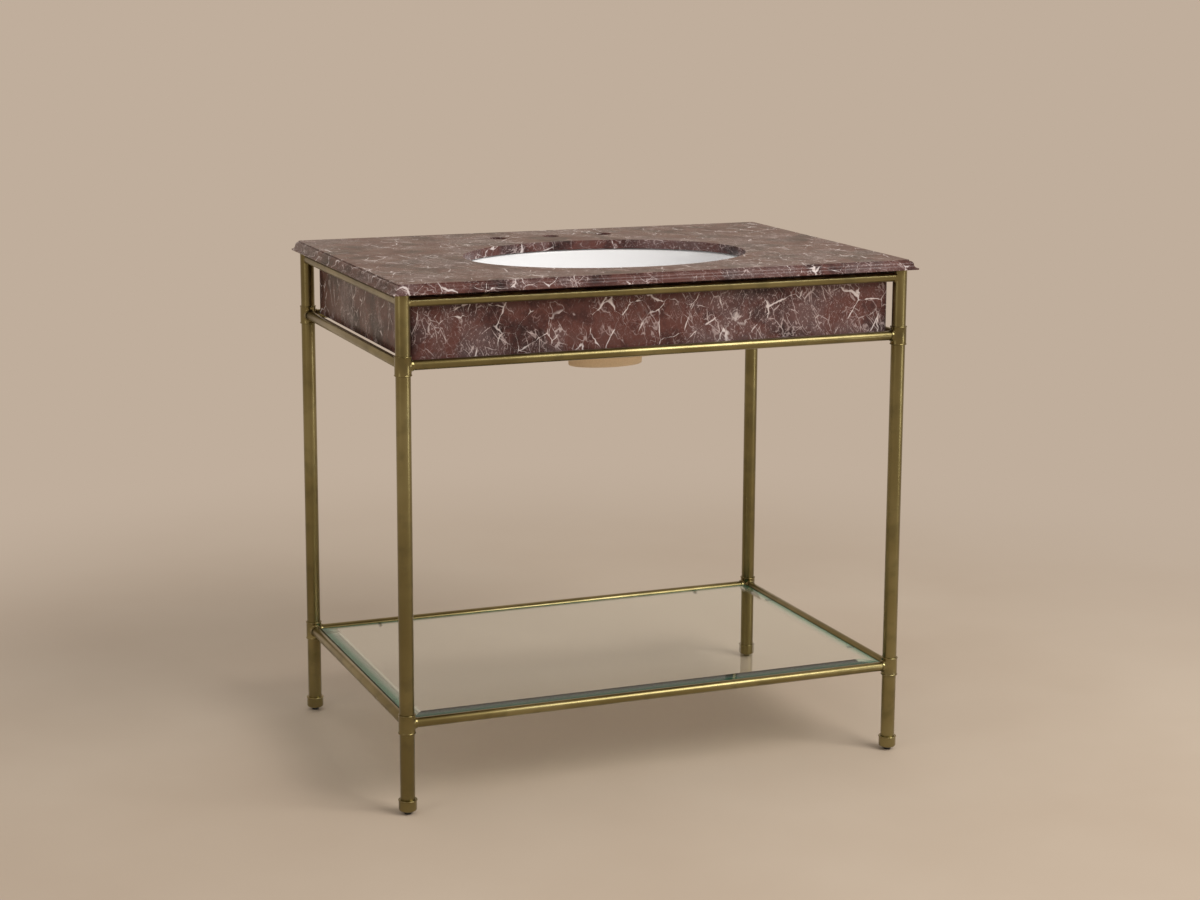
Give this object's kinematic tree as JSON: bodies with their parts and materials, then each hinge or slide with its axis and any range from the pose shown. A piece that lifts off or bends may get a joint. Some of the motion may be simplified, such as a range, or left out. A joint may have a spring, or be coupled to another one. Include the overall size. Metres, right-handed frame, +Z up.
{
  "type": "washstand with marble top",
  "caption": "Washstand with a veined dark red marble top and apron, an undermount oval basin, a round brass tube frame and a bevelled glass shelf on levelling feet",
  "frame": {"origin": "on the floor, under the middle of the marble top's width and depth", "axes": "+X to the right seen from the front, +Y to the back, +Z up"},
  "size_m": [0.914, 0.62, 0.858],
  "materials": {
    "marble": "polished dark red marble with pale veins",
    "brass": "satin antique brass",
    "ceramic": "white gloss glaze",
    "glass": "clear float glass with green polished edges",
    "black_plastic": "moulded black",
    "steel": "zinc plated",
    "clear_rubber": "translucent silicone"
  },
  "bodies": {
    "washstand": {"leg_front_left": "brass", "leg_front_right": "brass", "leg_back_left": "brass", "leg_back_right": "brass", "apron_collar_front_left": "brass", "apron_collar_front_right": "brass", "apron_collar_back_left": "brass", "apron_collar_back_right": "brass", "shelf_collar_front_left": "brass", "shelf_collar_front_right": "brass", "shelf_collar_back_left": "brass", "shelf_collar_back_right": "brass", "foot_cup_front_left": "brass", "foot_cup_front_right": "brass", "foot_cup_back_left": "brass", "foot_cup_back_right": "brass", "foot_insert_front_left": "brass", "foot_insert_front_right": "brass", "foot_insert_back_left": "brass", "foot_insert_back_right": "brass", "upper_rail_front": "brass", "upper_rail_back": "brass", "upper_rail_left": "brass", "upper_rail_right": "brass", "apron_rail_front": "brass", "apron_rail_back": "brass", "apron_rail_left": "brass", "apron_rail_right": "brass", "shelf_rail_front": "brass", "shelf_rail_back": "brass", "shelf_rail_left": "brass", "shelf_rail_right": "brass", "leg_top_plugs": "brass", "leg_top_bumpers": "clear_rubber", "marble_top": "marble", "apron_front": "marble", "apron_left": "marble", "apron_right": "marble", "apron_brackets": "steel", "basin": "ceramic", "basin_seal": "clear_rubber", "basin_clips": "steel", "clip_studs": "steel", "clip_nuts": "steel", "glass_shelf": "glass", "shelf_pegs": "brass", "peg_sleeves": "clear_rubber"},
    "foot_pad_front_left": {"level_pad_front_left": "black_plastic"},
    "foot_screw_front_left": {"level_stud_front_left": "steel"},
    "foot_pad_front_right": {"level_pad_front_right": "black_plastic"},
    "foot_screw_front_right": {"level_stud_front_right": "steel"},
    "foot_pad_back_left": {"level_pad_back_left": "black_plastic"},
    "foot_screw_back_left": {"level_stud_back_left": "steel"},
    "foot_pad_back_right": {"level_pad_back_right": "black_plastic"},
    "foot_screw_back_right": {"level_stud_back_right": "steel"}
  },
  "joints": [
    {"name": "pad_lower_front_left", "type": "slide", "parent": "washstand", "child": "foot_pad_front_left", "axis": [0, 0, -1], "range_m": [0, 0.01]},
    {"name": "screw_turn_front_left", "type": "hinge", "parent": "foot_pad_front_left", "child": "foot_screw_front_left", "pos_m": [-0.435, -0.283, 0.005], "axis": [0, 0, -1], "range_deg": [0, 3600]},
    {"name": "pad_lower_front_right", "type": "slide", "parent": "washstand", "child": "foot_pad_front_right", "axis": [0, 0, -1], "range_m": [0, 0.01]},
    {"name": "screw_turn_front_right", "type": "hinge", "parent": "foot_pad_front_right", "child": "foot_screw_front_right", "pos_m": [0.435, -0.283, 0.005], "axis": [0, 0, -1], "range_deg": [0, 3600]},
    {"name": "pad_lower_back_left", "type": "slide", "parent": "washstand", "child": "foot_pad_back_left", "axis": [0, 0, -1], "range_m": [0, 0.01]},
    {"name": "screw_turn_back_left", "type": "hinge", "parent": "foot_pad_back_left", "child": "foot_screw_back_left", "pos_m": [-0.435, 0.287, 0.005], "axis": [0, 0, -1], "range_deg": [0, 3600]},
    {"name": "pad_lower_back_right", "type": "slide", "parent": "washstand", "child": "foot_pad_back_right", "axis": [0, 0, -1], "range_m": [0, 0.01]},
    {"name": "screw_turn_back_right", "type": "hinge", "parent": "foot_pad_back_right", "child": "foot_screw_back_right", "pos_m": [0.435, 0.287, 0.005], "axis": [0, 0, -1], "range_deg": [0, 3600]}
  ],
  "couplings": [
    {"joint": "screw_turn_front_left", "follows": "pad_lower_front_left", "rad_per_m": 6283.2},
    {"joint": "screw_turn_front_right", "follows": "pad_lower_front_right", "rad_per_m": 6283.2},
    {"joint": "screw_turn_back_left", "follows": "pad_lower_back_left", "rad_per_m": 6283.2},
    {"joint": "screw_turn_back_right", "follows": "pad_lower_back_right", "rad_per_m": 6283.2}
  ]
}
